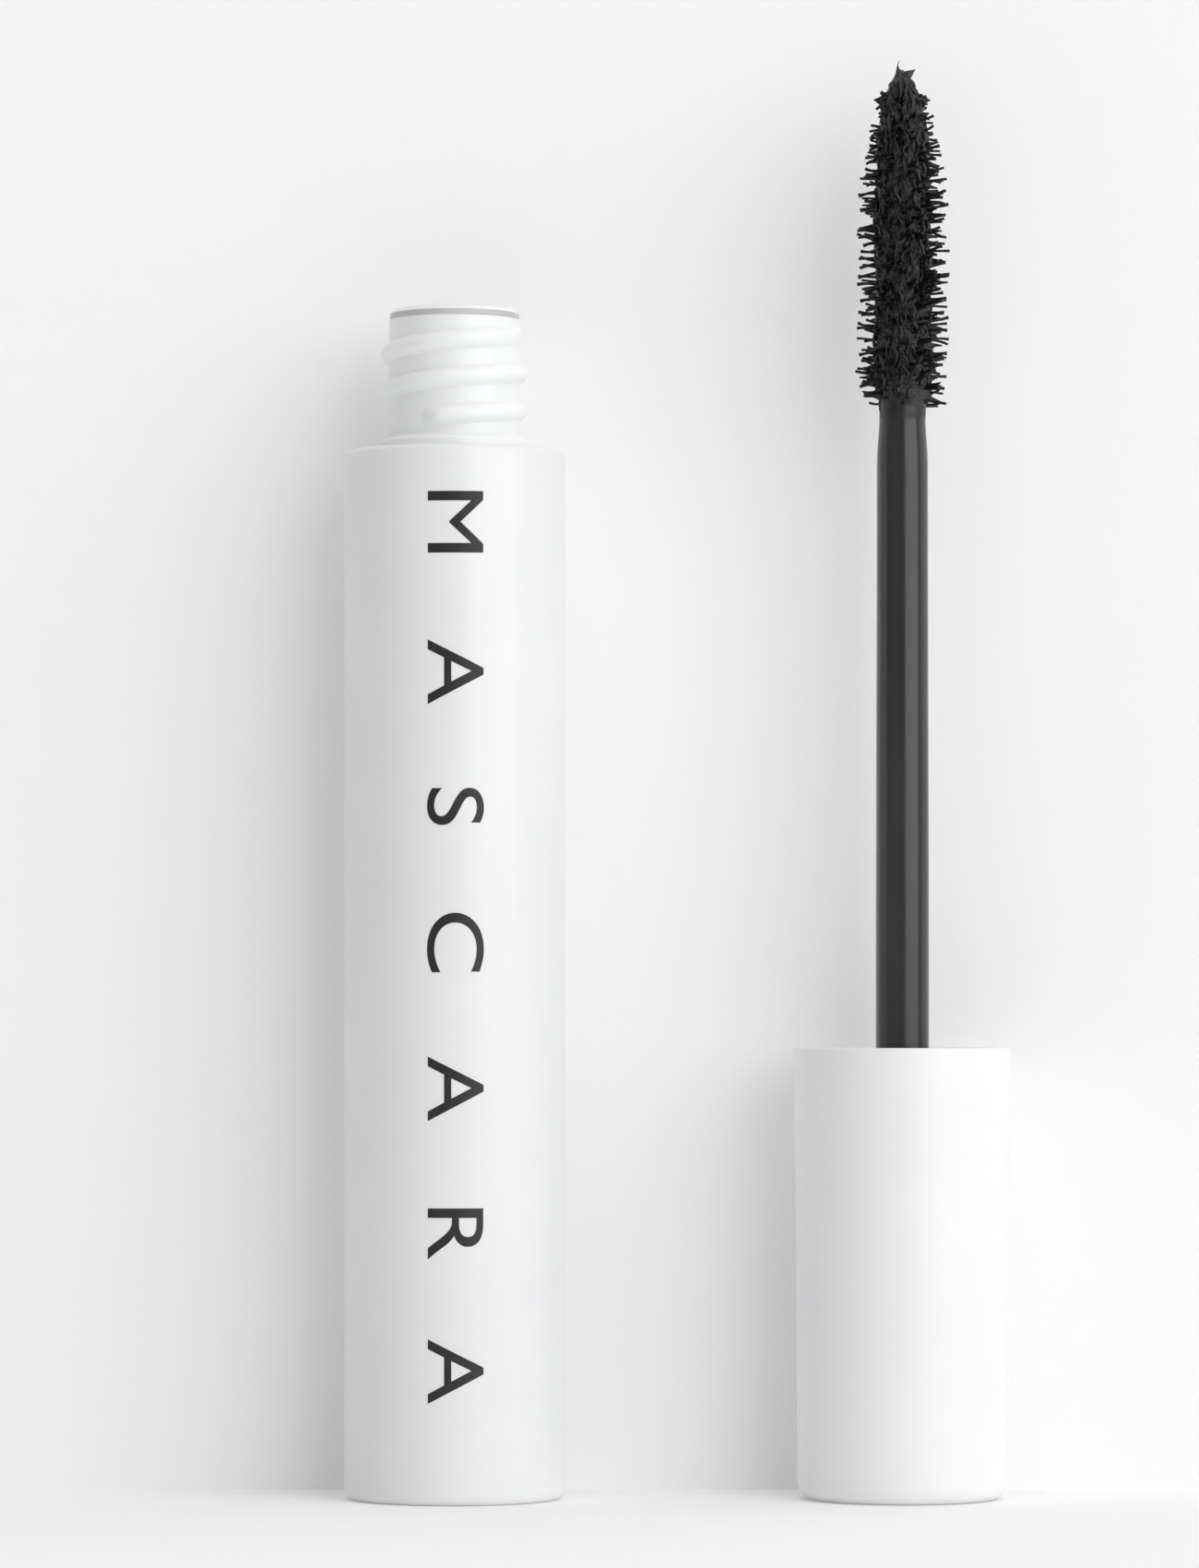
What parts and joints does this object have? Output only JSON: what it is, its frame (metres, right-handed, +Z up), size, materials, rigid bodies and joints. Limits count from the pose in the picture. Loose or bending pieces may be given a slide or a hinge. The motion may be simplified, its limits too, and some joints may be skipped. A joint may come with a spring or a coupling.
{
  "type": "mascara tube",
  "caption": "White screw-top mascara tube with its cap, wand and product-coated brush taken out and stood beside it.",
  "frame": {"origin": "Centre of the bottle's base, on the surface that it stands on.", "axes": "+Z up along the bottle's axis, towards its mouth; +X from the bottle towards the applicator standing beside it; +Y away from the front."},
  "size_m": [0.0512, 0.017, 0.109],
  "materials": {
    "shell_white": "glossy injection-moulded white",
    "plug_white": "satin white",
    "label_paper": "matte",
    "vial_natural": "translucent natural polypropylene",
    "wiper_natural": "translucent soft polyethylene",
    "product_black": "wet black paste",
    "seal_grey": "soft elastomer",
    "stem_black": "glossy black",
    "wire_steel": "drawn wire",
    "bristle_black": "nylon fibre coated with product"
  },
  "bodies": {
    "bottle": {"outer_sleeve": "shell_white", "base_plug": "plug_white", "base_label": "label_paper", "inner_vial": "vial_natural", "wiper": "wiper_natural", "mascara_bulk": "product_black"},
    "tip_excess": {"tip_product": "product_black"},
    "stem_excess": {"stem_product": "product_black"},
    "gasket": {"seal_ring": "seal_grey"},
    "applicator": {"cap_shell": "shell_white", "inner_cap": "vial_natural", "wand_stem": "stem_black", "brush_wire": "wire_steel", "bristles": "bristle_black"}
  },
  "joints": [
    {"name": "applicator_carry", "type": "hinge", "parent": "bottle", "child": "tip_excess", "pos_m": [0.0172, 0, 0.0984], "axis": [0, -1, 0], "range_deg": [0, 180]},
    {"name": "applicator_insert", "type": "slide", "parent": "tip_excess", "child": "stem_excess", "axis": [0, 0, 1], "range_m": [0, 0.07737], "deforming": ["tip_product"]},
    {"name": "cap_screw_rise", "type": "slide", "parent": "stem_excess", "child": "gasket", "axis": [0, 0, 1], "range_m": [0, 0.00428]},
    {"name": "cap_screw_turn", "type": "hinge", "parent": "gasket", "child": "applicator", "pos_m": [0.0344, 0, 0], "axis": [0, 0, 1], "range_deg": [0, 540.01]}
  ],
  "couplings": [
    {"joint": "cap_screw_turn", "follows": "cap_screw_rise", "rad_per_m": 2204.6}
  ]
}
